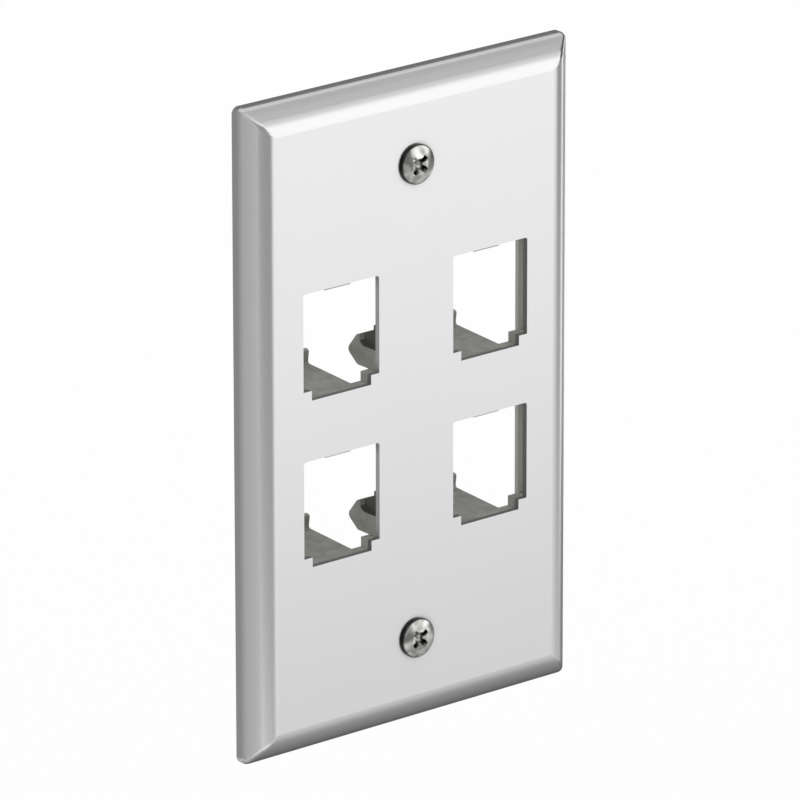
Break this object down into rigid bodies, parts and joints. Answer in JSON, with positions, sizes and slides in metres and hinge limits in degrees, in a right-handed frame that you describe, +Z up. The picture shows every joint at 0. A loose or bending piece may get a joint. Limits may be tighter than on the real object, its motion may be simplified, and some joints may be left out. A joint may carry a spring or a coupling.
{
  "type": "keystone faceplate",
  "caption": "Stamped stainless wall plate with bevelled edges, stepped ports for snap-in data jacks, a cast carrier with hooked tongues behind them and cross-recessed fixing screws.",
  "frame": {"origin": "middle of the plate, on the wall plane that the rim touches, midway between the fixing screws", "axes": "+Z up the plate as installed, +Y into the wall along the screws, +X to the right seen from the front"},
  "size_m": [0.0698, 0.0274, 0.1142],
  "materials": {
    "brushed_plate": "satin",
    "cast_carrier": "matte",
    "screw_steel": "satin"
  },
  "bodies": {
    "root": {"wall_plate": "brushed_plate", "module_carrier": "cast_carrier", "screw_top": "screw_steel", "screw_bottom": "screw_steel"}
  },
  "joints": []
}
